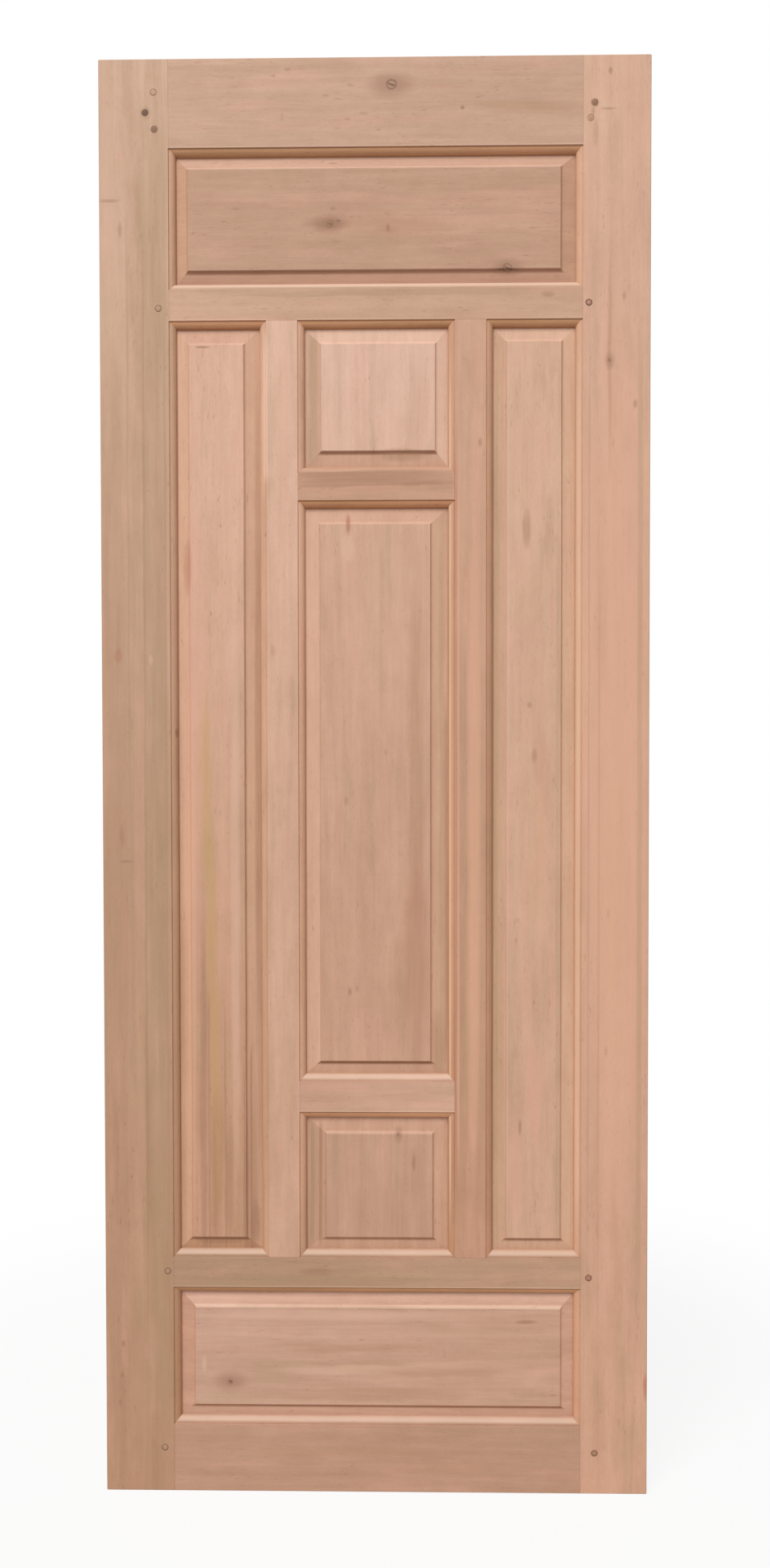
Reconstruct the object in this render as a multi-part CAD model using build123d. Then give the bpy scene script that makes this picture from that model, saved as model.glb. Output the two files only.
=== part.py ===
from build123d import *
import os
from dataclasses import dataclass

# Panelled timber leaf of an exterior door, made the joiner's way and moulded on both faces.
# Two stiles and four rails hold two muntins, two cross rails and seven raised panels.
# The rails are tenoned and pegged into the stiles, and every moulding meets its neighbour in a mitre.
# Frame: origin at the middle of the bottom edge, X to the right, Z up, front face towards -Y.
# All sizes are in millimetres.

# Leaf
leaf_width = 800.0
leaf_height = 2100.0
leaf_thickness = 35.0
edge_easing = 1.0

# Widths of the frame members, from outer edge or sight line to sight line
left_stile_width = 110.5
right_stile_width = 107.5
muntin_width = 65.0
top_rail_width = 137.5
frieze_rail_width = 64.0
lock_rail_width = 64.0
bottom_rail_width = 110.0
upper_cross_rail_width = 58.5
lower_cross_rail_width = 64.5

# Openings between the sight lines; the two side openings and the tall centre one take what is left,
# and the muntins stand a little to the right of the middle
centre_opening_width = 209.5
muntin_shift = 1.0
top_opening_height = 184.5
bottom_opening_height = 186.0
upper_square_height = 202.0
lower_square_height = 197.0

# Moulding stuck on the edges that face an opening: an eased arris, a square quirk, then an ovolo
sticking_width = 9.5
sticking_depth = 9.0
quirk_depth = 2.0
arris_easing = 0.5

# Panel groove, which is also the thickness of every tenon
groove_width = 12.0

# Panels, raised and fielded on both faces: a gentle slope ends in a cove under the flat field
panel_thickness = 24.0
cove_width = 4.0
cove_depth = 3.3
field_easing = 0.7
panel_fit = 0.1
swelling_gap = 2.0

# Margins from sight line to field, raised by hand and so all uneven
top_panel_left_margin = 17.3
top_panel_right_margin = 21.8
top_panel_bottom_margin = 19.3
top_panel_top_margin = 18.2
bottom_panel_left_margin = 21.3
bottom_panel_right_margin = 19.3
bottom_panel_bottom_margin = 17.4
bottom_panel_top_margin = 21.7
left_side_panel_left_margin = 18.5
left_side_panel_right_margin = 23.8
left_side_panel_bottom_margin = 18.0
left_side_panel_top_margin = 23.0
right_side_panel_left_margin = 20.2
right_side_panel_right_margin = 20.3
right_side_panel_bottom_margin = 18.4
right_side_panel_top_margin = 20.7
upper_square_left_margin = 24.2
upper_square_right_margin = 18.8
upper_square_bottom_margin = 23.6
upper_square_top_margin = 23.0
centre_panel_left_margin = 22.2
centre_panel_right_margin = 25.8
centre_panel_bottom_margin = 19.3
centre_panel_top_margin = 23.6
lower_square_left_margin = 29.3
lower_square_right_margin = 22.8
lower_square_bottom_margin = 18.7
lower_square_top_margin = 23.2

# Joints
rail_tenon_length = 70.0
haunch_width = 30.0
haunch_length = 12.0
muntin_tenon_length = 25.0
cross_tenon_length = 18.0
mortise_end_gap = 1.5

# Pegs through the rail tenons
peg_diameter = 10.0
peg_fit = 0.05

# Peg places, bored by eye and so all uneven: how far past the shoulder line,
# and how far above the tenon's middle line
top_left_high_inset = 21.0
top_left_high_rise = 31.2
top_left_middle_inset = 33.2
top_left_middle_rise = 2.2
top_left_low_inset = 20.1
top_left_low_rise = -21.8
top_right_high_inset = 16.5
top_right_high_rise = 11.0
top_right_low_inset = 10.7
top_right_low_rise = -10.9
frieze_left_inset = 15.3
frieze_left_rise = -4.2
frieze_right_inset = 8.6
frieze_right_rise = 0.3
lock_left_inset = 8.6
lock_left_rise = 1.2
lock_right_inset = 11.6
lock_right_rise = -5.9
bottom_left_inset = 14.0
bottom_left_rise = -0.3
bottom_right_inset = 20.8
bottom_right_rise = -4.4

# How far a cutter runs on past the wood
overrun = 1.0

# Sight lines across the leaf
left_edge = -leaf_width / 2
right_edge = leaf_width / 2
left_stile_sight = left_edge + left_stile_width
right_stile_sight = right_edge - right_stile_width
side_opening_width = (
    right_stile_sight - left_stile_sight - 2 * muntin_width - centre_opening_width
) / 2
left_muntin_left = left_stile_sight + side_opening_width + muntin_shift
left_muntin_right = left_muntin_left + muntin_width
right_muntin_left = left_muntin_right + centre_opening_width
right_muntin_right = right_muntin_left + muntin_width

# Sight lines up the leaf
lock_rail_bottom = bottom_rail_width + bottom_opening_height
lock_rail_top = lock_rail_bottom + lock_rail_width
lower_cross_bottom = lock_rail_top + lower_square_height
lower_cross_top = lower_cross_bottom + lower_cross_rail_width
top_rail_bottom = leaf_height - top_rail_width
frieze_rail_top = top_rail_bottom - top_opening_height
frieze_rail_bottom = frieze_rail_top - frieze_rail_width
upper_cross_top = frieze_rail_bottom - upper_square_height
upper_cross_bottom = upper_cross_top - upper_cross_rail_width

# Shoulder lines of the rails, where the stiles' flat faces end
left_shoulder = left_stile_sight - sticking_width
right_shoulder = right_stile_sight + sticking_width


@dataclass(frozen=True)
class Opening:
    """Panel opening between four sight lines."""

    left: float
    right: float
    bottom: float
    top: float


@dataclass(frozen=True)
class Margins:
    """Widths of a panel's four sloped margins, from sight line to field."""

    left: float
    right: float
    bottom: float
    top: float


@dataclass(frozen=True)
class Peg:
    """Peg place: how far past the shoulder line, and how far above the tenon's middle line."""

    inset: float
    rise: float


@dataclass(frozen=True)
class Rail:
    """Rail between the stiles: its flat face, its tenons' height, and the pegs at its two ends."""

    bottom: float
    top: float
    tenon_bottom: float
    tenon_top: float
    left_pegs: tuple
    right_pegs: tuple


top_opening = Opening(left_stile_sight, right_stile_sight, frieze_rail_top, top_rail_bottom)
bottom_opening = Opening(left_stile_sight, right_stile_sight, bottom_rail_width, lock_rail_bottom)
left_side_opening = Opening(left_stile_sight, left_muntin_left, lock_rail_top, frieze_rail_bottom)
right_side_opening = Opening(
    right_muntin_right, right_stile_sight, lock_rail_top, frieze_rail_bottom
)
upper_square_opening = Opening(
    left_muntin_right, right_muntin_left, upper_cross_top, frieze_rail_bottom
)
centre_opening = Opening(
    left_muntin_right, right_muntin_left, lower_cross_top, upper_cross_bottom
)
lower_square_opening = Opening(
    left_muntin_right, right_muntin_left, lock_rail_top, lower_cross_bottom
)

top_panel_margins = Margins(
    top_panel_left_margin, top_panel_right_margin, top_panel_bottom_margin, top_panel_top_margin
)
bottom_panel_margins = Margins(
    bottom_panel_left_margin,
    bottom_panel_right_margin,
    bottom_panel_bottom_margin,
    bottom_panel_top_margin,
)
left_side_panel_margins = Margins(
    left_side_panel_left_margin,
    left_side_panel_right_margin,
    left_side_panel_bottom_margin,
    left_side_panel_top_margin,
)
right_side_panel_margins = Margins(
    right_side_panel_left_margin,
    right_side_panel_right_margin,
    right_side_panel_bottom_margin,
    right_side_panel_top_margin,
)
upper_square_margins = Margins(
    upper_square_left_margin,
    upper_square_right_margin,
    upper_square_bottom_margin,
    upper_square_top_margin,
)
centre_panel_margins = Margins(
    centre_panel_left_margin,
    centre_panel_right_margin,
    centre_panel_bottom_margin,
    centre_panel_top_margin,
)
lower_square_margins = Margins(
    lower_square_left_margin,
    lower_square_right_margin,
    lower_square_bottom_margin,
    lower_square_top_margin,
)

top_rail = Rail(
    bottom=top_rail_bottom + sticking_width,
    top=leaf_height,
    tenon_bottom=top_rail_bottom + sticking_width,
    tenon_top=leaf_height - haunch_width,
    left_pegs=(
        Peg(top_left_high_inset, top_left_high_rise),
        Peg(top_left_middle_inset, top_left_middle_rise),
        Peg(top_left_low_inset, top_left_low_rise),
    ),
    right_pegs=(
        Peg(top_right_high_inset, top_right_high_rise),
        Peg(top_right_low_inset, top_right_low_rise),
    ),
)
frieze_rail = Rail(
    bottom=frieze_rail_bottom + sticking_width,
    top=frieze_rail_top - sticking_width,
    tenon_bottom=frieze_rail_bottom + sticking_width,
    tenon_top=frieze_rail_top - sticking_width,
    left_pegs=(Peg(frieze_left_inset, frieze_left_rise),),
    right_pegs=(Peg(frieze_right_inset, frieze_right_rise),),
)
lock_rail = Rail(
    bottom=lock_rail_bottom + sticking_width,
    top=lock_rail_top - sticking_width,
    tenon_bottom=lock_rail_bottom + sticking_width,
    tenon_top=lock_rail_top - sticking_width,
    left_pegs=(Peg(lock_left_inset, lock_left_rise),),
    right_pegs=(Peg(lock_right_inset, lock_right_rise),),
)
bottom_rail = Rail(
    bottom=0.0,
    top=bottom_rail_width - sticking_width,
    tenon_bottom=haunch_width,
    tenon_top=bottom_rail_width - sticking_width,
    left_pegs=(Peg(bottom_left_inset, bottom_left_rise),),
    right_pegs=(Peg(bottom_right_inset, bottom_right_rise),),
)


def plate(left, right, bottom, top, thickness):
    """Upright block between four lines seen from the front, centred in the leaf's thickness."""
    middle = Pos((left + right) / 2, 0, (bottom + top) / 2)
    return middle * Box(right - left, thickness, top - bottom)


def moulding_run(opening, side):
    """Plane and length of the moulding on one side of an opening.

    The plane stands on the corner of the flat lines, with its x axis towards the opening
    and its normal along the run.
    """
    flat_left = opening.left - sticking_width
    flat_right = opening.right + sticking_width
    flat_bottom = opening.bottom - sticking_width
    flat_top = opening.top + sticking_width
    if side == "left":
        return Plane((flat_left, 0, flat_bottom), x_dir=(1, 0, 0), z_dir=(0, 0, 1)), flat_top - flat_bottom
    if side == "right":
        return Plane((flat_right, 0, flat_bottom), x_dir=(-1, 0, 0), z_dir=(0, 0, 1)), flat_top - flat_bottom
    if side == "bottom":
        return Plane((flat_left, 0, flat_bottom), x_dir=(0, 0, 1), z_dir=(1, 0, 0)), flat_right - flat_left
    return Plane((flat_left, 0, flat_top), x_dir=(0, 0, -1), z_dir=(1, 0, 0)), flat_right - flat_left


def mitred_lip(length):
    """Full-thickness strip between flat line and sight line, cut to a mitre at both ends."""
    outline = Polygon(
        (0, 0),
        (sticking_width, sticking_width),
        (sticking_width, length - sticking_width),
        (0, length),
        align=None,
    )
    return extrude(Plane.XZ * outline, leaf_thickness / 2, both=True)


def sticking_cutter(length):
    """What the moulding plane and the plough take off one edge: both ovolos and the groove."""
    face = leaf_thickness / 2
    past_sight = sticking_width + overrun
    past_face = face + overrun
    ovolo = TangentArc(
        (0, face - quirk_depth), (sticking_width, face - sticking_depth), tangent=(1, 0)
    )
    waste_edge = Polyline(
        (sticking_width, face - sticking_depth),
        (past_sight, face - sticking_depth),
        (past_sight, past_face),
        (-arris_easing, past_face),
        (-arris_easing, face),
        (0, face - arris_easing),
        (0, face - quirk_depth),
    )
    front = make_face(ovolo + waste_edge)
    back = mirror(front, about=Plane.XZ)
    groove = Pos(past_sight / 2, 0) * Rectangle(past_sight, groove_width)
    return extrude(front + back + groove, length)


def framing_member(core, edges, tenons=(), mortises=()):
    """Plank with a moulded and grooved lip along each opening, then its tenons and mortises."""
    runs = [moulding_run(opening, side) for opening, side in edges]
    member = core
    for plane, length in runs:
        member += plane * mitred_lip(length)
    for plane, length in runs:
        member -= plane * sticking_cutter(length)
    for tenon in tenons:
        member += tenon
    for mortise in mortises:
        member -= mortise
    return member


def rail_tenon(rail, shoulder, outward, end_gap=0.0):
    """Tenon and haunch at one end of a rail, or its mortise when an end gap is given."""
    reaches = (rail_tenon_length + end_gap, haunch_length + end_gap)
    heights = ((rail.tenon_bottom, rail.tenon_top), (rail.bottom, rail.top))
    blocks = [
        plate(*sorted((shoulder, shoulder + outward * reach)), bottom, top, groove_width)
        for reach, (bottom, top) in zip(reaches, heights)
    ]
    return blocks[0] + blocks[1]


def muntin_tenon(left, right, shoulder, outward, end_gap=0.0):
    """Stub tenon on one end of a muntin, or its mortise when an end gap is given."""
    reach = muntin_tenon_length + end_gap
    return plate(left, right, *sorted((shoulder, shoulder + outward * reach)), groove_width)


def cross_tenon(shoulder, outward, bottom, top, end_gap=0.0):
    """Stub tenon on one end of a cross rail, or its mortise when an end gap is given."""
    reach = cross_tenon_length + end_gap
    return plate(*sorted((shoulder, shoulder + outward * reach)), bottom, top, groove_width)


def peg_rods(rail, radius, length):
    """Rods through both ends of a rail, one for each of its pegs."""
    middle = (rail.tenon_bottom + rail.tenon_top) / 2
    places = [(left_shoulder - peg.inset, middle + peg.rise) for peg in rail.left_pegs]
    places += [(right_shoulder + peg.inset, middle + peg.rise) for peg in rail.right_pegs]
    rod = Rot(90, 0, 0) * Cylinder(radius, length)
    return [Pos(x, 0, z) * rod for x, z in places]


def panel_section(low_end, low_sight, high_sight, high_end, low_margin, high_margin):
    """Cross-section of a panel, its x axis running from one tongue's end to the other's.

    On both faces a gentle slope rises from each sight line to a cove under the flat field.
    """
    tongue_face = groove_width / 2 - panel_fit
    field_face = panel_thickness / 2
    cove_top = field_face - field_easing
    cove_foot = cove_top - cove_depth
    low_field = low_sight + low_margin
    high_field = high_sight - high_margin
    low_foot = (low_field - cove_width, cove_foot)
    high_foot = (high_field + cove_width, cove_foot)
    low_slope = (low_foot[0] - low_sight, cove_foot - tongue_face)
    high_slope = (high_foot[0] - high_sight, cove_foot - tongue_face)
    outline = Polyline(
        high_foot,
        (high_sight, tongue_face),
        (high_end, tongue_face),
        (high_end, 0),
        (low_end, 0),
        (low_end, tongue_face),
        (low_sight, tongue_face),
        low_foot,
    )
    outline += TangentArc(low_foot, (low_field, cove_top), tangent=low_slope)
    outline += Polyline(
        (low_field, cove_top),
        (low_field + field_easing, field_face),
        (high_field - field_easing, field_face),
        (high_field, cove_top),
    )
    outline += TangentArc(high_foot, (high_field, cove_top), tangent=high_slope)
    front = make_face(outline)
    return front + mirror(front, about=Plane.XZ)


def raised_panel(opening, margins):
    """Panel fielded on both faces, whose tongue stands on the lower groove and may swell above.

    It is what the section across and the section up the panel have in common.
    """
    left_end = opening.left - sticking_width + swelling_gap
    right_end = opening.right + sticking_width - swelling_gap
    bottom_end = opening.bottom - sticking_width
    top_end = opening.top + sticking_width - swelling_gap
    across = panel_section(
        left_end, opening.left, opening.right, right_end, margins.left, margins.right
    )
    up = panel_section(
        bottom_end, opening.bottom, opening.top, top_end, margins.bottom, margins.top
    )
    foot = Plane((0, 0, bottom_end), x_dir=(1, 0, 0), z_dir=(0, 0, 1))
    side = Plane((left_end, 0, 0), x_dir=(0, 0, 1), z_dir=(1, 0, 0))
    return extrude(foot * across, top_end - bottom_end) & extrude(side * up, right_end - left_end)


# Outer edges of the finished leaf, eased all round
leaf_envelope = Pos(0, 0, leaf_height / 2) * Box(leaf_width, leaf_thickness, leaf_height)
leaf_envelope = chamfer(leaf_envelope.edges(), edge_easing)

rails = (top_rail, frieze_rail, lock_rail, bottom_rail)
left_mortises = [rail_tenon(rail, left_shoulder, -1, mortise_end_gap) for rail in rails]
right_mortises = [rail_tenon(rail, right_shoulder, 1, mortise_end_gap) for rail in rails]


def stile(outer, shoulder, edges, mortises):
    """Full-height stile between its outer edge and its shoulder line."""
    core = plate(*sorted((outer, shoulder)), 0, leaf_height, leaf_thickness)
    return framing_member(core, edges, mortises=mortises) & leaf_envelope


def rail_member(rail, edges, mortises=()):
    """Rail from stile to stile, with a tenon at each end."""
    core = plate(left_shoulder, right_shoulder, rail.bottom, rail.top, leaf_thickness)
    tenons = (rail_tenon(rail, left_shoulder, -1), rail_tenon(rail, right_shoulder, 1))
    return framing_member(core, edges, tenons, mortises) & leaf_envelope


def muntin_flats(left, right):
    """Flat lines of a muntin, inside its two sight lines."""
    return left + sticking_width, right - sticking_width


left_muntin_flats = muntin_flats(left_muntin_left, left_muntin_right)
right_muntin_flats = muntin_flats(right_muntin_left, right_muntin_right)
muntin_foot = lock_rail_top - sticking_width
muntin_head = frieze_rail_bottom + sticking_width
upper_cross_flats = (upper_cross_bottom + sticking_width, upper_cross_top - sticking_width)
lower_cross_flats = (lower_cross_bottom + sticking_width, lower_cross_top - sticking_width)
cross_left = left_muntin_flats[1]
cross_right = right_muntin_flats[0]


def muntin(flats, edges, shoulder, outward):
    """Upright between frieze rail and lock rail, mortised for both cross rails."""
    core = plate(*flats, muntin_foot, muntin_head, leaf_thickness)
    tenons = (muntin_tenon(*flats, muntin_foot, -1), muntin_tenon(*flats, muntin_head, 1))
    mortises = [
        cross_tenon(shoulder, outward, *cross_flats, mortise_end_gap)
        for cross_flats in (upper_cross_flats, lower_cross_flats)
    ]
    return framing_member(core, edges, tenons, mortises)


def cross_rail(flats, edges):
    """Short rail between the muntins."""
    core = plate(cross_left, cross_right, *flats, leaf_thickness)
    tenons = (cross_tenon(cross_left, -1, *flats), cross_tenon(cross_right, 1, *flats))
    return framing_member(core, edges, tenons)


def muntin_mortises(shoulder, outward):
    """The two mortises for the muntins' tenons in one rail."""
    return [
        muntin_tenon(*flats, shoulder, outward, mortise_end_gap)
        for flats in (left_muntin_flats, right_muntin_flats)
    ]


def bored(member, ends):
    """Bore a member for the pegs of the given rails."""
    for rail in ends:
        for hole in peg_rods(rail, peg_diameter / 2, leaf_thickness + 2 * overrun):
            member -= hole
    return member


def rail_pegs(rail):
    """The pegs of one rail, cut off flush with both faces."""
    return Compound(children=peg_rods(rail, peg_diameter / 2 - peg_fit, leaf_thickness))


nodes = {
    "left_stile": bored(
        stile(
            left_edge,
            left_shoulder,
            [(top_opening, "left"), (left_side_opening, "left"), (bottom_opening, "left")],
            left_mortises,
        ),
        rails,
    ),
    "right_stile": bored(
        stile(
            right_edge,
            right_shoulder,
            [(top_opening, "right"), (right_side_opening, "right"), (bottom_opening, "right")],
            right_mortises,
        ),
        rails,
    ),
    "top_rail": bored(rail_member(top_rail, [(top_opening, "top")]), [top_rail]),
    "frieze_rail": bored(
        rail_member(
            frieze_rail,
            [
                (top_opening, "bottom"),
                (left_side_opening, "top"),
                (upper_square_opening, "top"),
                (right_side_opening, "top"),
            ],
            muntin_mortises(muntin_head, 1),
        ),
        [frieze_rail],
    ),
    "lock_rail": bored(
        rail_member(
            lock_rail,
            [
                (bottom_opening, "top"),
                (left_side_opening, "bottom"),
                (lower_square_opening, "bottom"),
                (right_side_opening, "bottom"),
            ],
            muntin_mortises(muntin_foot, -1),
        ),
        [lock_rail],
    ),
    "bottom_rail": bored(rail_member(bottom_rail, [(bottom_opening, "bottom")]), [bottom_rail]),
    "left_muntin": muntin(
        left_muntin_flats,
        [
            (left_side_opening, "right"),
            (upper_square_opening, "left"),
            (centre_opening, "left"),
            (lower_square_opening, "left"),
        ],
        cross_left,
        -1,
    ),
    "right_muntin": muntin(
        right_muntin_flats,
        [
            (right_side_opening, "left"),
            (upper_square_opening, "right"),
            (centre_opening, "right"),
            (lower_square_opening, "right"),
        ],
        cross_right,
        1,
    ),
    "upper_cross_rail": cross_rail(
        upper_cross_flats, [(upper_square_opening, "bottom"), (centre_opening, "top")]
    ),
    "lower_cross_rail": cross_rail(
        lower_cross_flats, [(centre_opening, "bottom"), (lower_square_opening, "top")]
    ),
    "top_panel": raised_panel(top_opening, top_panel_margins),
    "left_side_panel": raised_panel(left_side_opening, left_side_panel_margins),
    "right_side_panel": raised_panel(right_side_opening, right_side_panel_margins),
    "upper_square_panel": raised_panel(upper_square_opening, upper_square_margins),
    "centre_panel": raised_panel(centre_opening, centre_panel_margins),
    "lower_square_panel": raised_panel(lower_square_opening, lower_square_margins),
    "bottom_panel": raised_panel(bottom_opening, bottom_panel_margins),
    "top_rail_pegs": rail_pegs(top_rail),
    "frieze_rail_pegs": rail_pegs(frieze_rail),
    "lock_rail_pegs": rail_pegs(lock_rail),
    "bottom_rail_pegs": rail_pegs(bottom_rail),
}

os.makedirs("parts", exist_ok=True)
for name, shape in nodes.items():
    export_step(shape, f"parts/{name}.step")
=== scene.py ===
"""Raw timber door leaf with seven raised panels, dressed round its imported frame.

Every board keeps the frame's own shape and gets timber, the pegs are cut by hand, and a plain
studio lights them.
"""

import logging
import math
from collections.abc import Callable, Mapping, Sequence
from dataclasses import dataclass
from enum import Enum
from typing import Any

import bpy
from mathutils import Matrix, Vector

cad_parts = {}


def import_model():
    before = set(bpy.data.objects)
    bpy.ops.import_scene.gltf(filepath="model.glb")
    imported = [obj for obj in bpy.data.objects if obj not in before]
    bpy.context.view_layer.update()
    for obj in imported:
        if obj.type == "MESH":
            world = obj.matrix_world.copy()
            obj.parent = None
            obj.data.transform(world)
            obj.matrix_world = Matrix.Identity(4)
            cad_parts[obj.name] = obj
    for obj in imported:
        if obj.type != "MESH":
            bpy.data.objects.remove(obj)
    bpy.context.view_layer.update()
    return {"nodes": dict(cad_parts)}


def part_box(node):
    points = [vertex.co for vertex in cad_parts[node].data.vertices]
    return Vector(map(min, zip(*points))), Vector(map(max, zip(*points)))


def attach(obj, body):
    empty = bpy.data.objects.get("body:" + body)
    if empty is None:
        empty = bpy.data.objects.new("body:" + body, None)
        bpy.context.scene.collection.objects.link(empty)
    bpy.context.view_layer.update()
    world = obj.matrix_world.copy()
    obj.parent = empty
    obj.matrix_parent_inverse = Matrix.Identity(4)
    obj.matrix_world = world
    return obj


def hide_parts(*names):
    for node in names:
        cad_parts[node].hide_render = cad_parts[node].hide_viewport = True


Socket = bpy.types.NodeSocket
Colour = tuple[float, float, float]
Display = tuple[int, int, int]
Point = tuple[float, float, float]
Paint = Socket | Display
Span = tuple[float, float]
Inputs = Mapping[int | str, Any]

LOG = logging.getLogger("door_leaf")
MM = 0.001
METRES_TO_MM = 1000.0
WHITE = (1.0, 1.0, 1.0)

# Middle of every noise, taken off so that the noise adds and takes away
NOISE_MIDDLE = 0.5

# Share of gloss on bare wood
MATT_GLOSS = 0.32

# What one share of darkening, and of amber light in a recess, takes off red, green and blue
WARMING = (-0.80, -1.02, -1.18)
AMBER = (-0.06, -0.48, -1.00)

# Half length of a mark that runs through the board's whole thickness
RUNS_THROUGH = 120.0

# How far a panel goes into the grooves beyond its sight lines, at its sides and top and at its foot
PANEL_IN_GROOVE = 7.5
PANEL_ON_GROOVE = 9.5

# Lengths of the tenons, which the frame's boxes include
RAIL_TENON = 70.0
MUNTIN_TENON = 25.0
CROSS_TENON = 18.0


def from_display(colour: Display) -> Colour:
    """Turns a display colour, from 0 to 255, into the linear light that shaders take."""
    def linear(level: int) -> float:
        share = level / 255.0
        return share / 12.92 if share <= 0.04045 else ((share + 0.055) / 1.055) ** 2.4

    red, green, blue = colour
    return linear(red), linear(green), linear(blue)


# Shader maths


def _operator(operation: str, swapped: bool = False) -> Callable[..., "Signal"]:
    """Makes a method that adds one Math node over a Signal and any other value, in either order."""
    def method(*values: "Signal | float") -> "Signal":
        inputs = reversed(values) if swapped else values
        settings = {"operation": operation}
        return values[0].bench.number("Math", settings, dict(enumerate(inputs)))

    return method


class Signal:
    """A number that varies over a surface, on which Python's operators add Math nodes."""

    def __init__(self, bench: "Bench", socket: Socket) -> None:
        """Wraps one output socket of the bench's node tree."""
        self.bench = bench
        self.socket = socket

    __add__ = _operator("ADD")
    __radd__ = _operator("ADD", swapped=True)
    __sub__ = _operator("SUBTRACT")
    __rsub__ = _operator("SUBTRACT", swapped=True)
    __mul__ = _operator("MULTIPLY")
    __truediv__ = _operator("DIVIDE")
    at_least = _operator("MAXIMUM")
    at_most = _operator("MINIMUM")
    __abs__ = _operator("ABSOLUTE")
    root = _operator("SQRT")


Three = tuple[Signal, Signal, Signal]


@dataclass(frozen=True)
class Feature:
    """Noise: its size across, through and along a board in mm, and its finer layers' strength."""

    size: Point
    layers: float = 2.0
    rough: float = 0.5


@dataclass(frozen=True)
class Line:
    """A soft line: where it lies, and how far from there it has faded and is whole."""

    place: float
    faded: float
    whole: float


class Bench:
    """One node tree, with the calls that put nodes on it."""

    def __init__(self, tree: bpy.types.NodeTree) -> None:
        """Empties the tree and works on it."""
        self.tree = tree
        tree.nodes.clear()

    @classmethod
    def for_material(cls, name: str) -> tuple["Bench", bpy.types.Material]:
        """Opens a new material of that name, and the bench for its tree."""
        material = bpy.data.materials.new(name)
        material.use_nodes = True
        return cls(material.node_tree), material

    def node(
        self,
        kind: str,
        settings: Mapping[str, Any] | None = None,
        sockets: Inputs | None = None,
    ) -> bpy.types.Node:
        """Adds one node, its settings first and then its sockets.

        Args:
            kind: What follows ShaderNode in the node's type.
            settings: Its properties.
            sockets: A value, a Signal or an output socket for each input, by index or name.

        Returns:
            The new node.
        """
        node = self.tree.nodes.new(f"ShaderNode{kind}")
        for name, value in (settings or {}).items():
            setattr(node, name, value)
        for key, value in (sockets or {}).items():
            socket = node.inputs[key]
            if isinstance(value, Signal):
                value = value.socket
            if isinstance(value, Socket):
                self.tree.links.new(value, socket)
            elif socket.type == "RGBA":
                socket.default_value = (*value, 1.0)
            else:
                socket.default_value = value
        return node

    def number(self, kind: str, settings: Mapping[str, Any], sockets: Inputs) -> Signal:
        """Adds one node and returns its first output as a Signal."""
        return Signal(self, self.node(kind, settings, sockets).outputs[0])

    def fade(self, value: Signal, start: float, end: float) -> Signal:
        """A soft step from 0 where value is start to 1 where it is end, either way round."""
        low, high, first, last = (start, end, 0.0, 1.0) if start < end else (end, start, 1.0, 0.0)
        sockets = {0: value, 1: low, 2: high, 3: first, 4: last}
        return self.number("MapRange", {"interpolation_type": "SMOOTHSTEP"}, sockets)

    def line(self, value: Signal, line: Line) -> Signal:
        """1 where a value is on a soft line, and 0 away from it."""
        distance = value - line.place if line.place else value
        return self.fade(abs(distance), line.faded, line.whole)

    def join(self, x: Signal, y: Signal, z: Signal) -> Socket:
        """Joins three numbers into a vector."""
        return self.node("CombineXYZ", sockets={0: x, 1: y, 2: z}).outputs[0]

    def split(self, vector: Socket) -> Three:
        """Splits a vector or a colour into three numbers."""
        parts = self.node("SeparateXYZ", sockets={0: vector}).outputs
        return Signal(self, parts[0]), Signal(self, parts[1]), Signal(self, parts[2])

    def place(self) -> Three:
        """Where a point lies on the object, in mm."""
        x, y, z = self.split(self.node("TexCoord").outputs["Object"])
        return x * METRES_TO_MM, y * METRES_TO_MM, z * METRES_TO_MM

    def scale(self, vector: Signal | Socket, factors: Point, added: Point) -> Socket:
        """Multiplies a vector, or a number for each of its parts, and adds another."""
        settings = {"operation": "MULTIPLY_ADD"}
        sockets = {0: vector, 1: factors, 2: added}
        return self.node("VectorMath", settings, sockets).outputs[0]

    def _noise(self, vector: Socket, feature: Feature, shift: Point) -> bpy.types.Node:
        """Adds a noise node over a vector in mm, stretched to the feature's size and moved."""
        placed = self.scale(vector, tuple(1.0 / size for size in feature.size), shift)
        layers = {"Detail": feature.layers, "Roughness": feature.rough}
        return self.node("TexNoise", {}, {"Vector": placed, "Scale": 1.0, **layers})

    def noise(self, vector: Socket, feature: Feature, shift: Point) -> Signal:
        """One noise round 0 at a place in mm, moved by a shift so that no two boards are alike."""
        return Signal(self, self._noise(vector, feature, shift).outputs[0]) - NOISE_MIDDLE

    def noises(self, vector: Socket, feature: Feature, shift: Point) -> Three:
        """Three separate noises of the same kind."""
        first, second, third = self.split(self._noise(vector, feature, shift).outputs[1])
        return first - NOISE_MIDDLE, second - NOISE_MIDDLE, third - NOISE_MIDDLE

    def bands(self, value: Signal, layers: float, rough: float) -> Signal:
        """Noise along one number, which gives uneven bands of uneven strength."""
        sockets = {"W": value, "Scale": 1.0, "Detail": layers, "Roughness": rough}
        return self.number("TexNoise", {"noise_dimensions": "1D"}, sockets) - NOISE_MIDDLE

    def blend(self, cover: Signal, below: Paint, above: Paint) -> Socket:
        """Lays one colour over another and returns the mix's socket."""
        sockets: dict[int, Any] = {0: cover}
        for key, paint in {6: below, 7: above}.items():
            sockets[key] = from_display(paint) if isinstance(paint, tuple) else paint
        settings = {"data_type": "RGBA", "clamp_factor": True}
        return self.node("Mix", settings, sockets).outputs[2]

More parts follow.
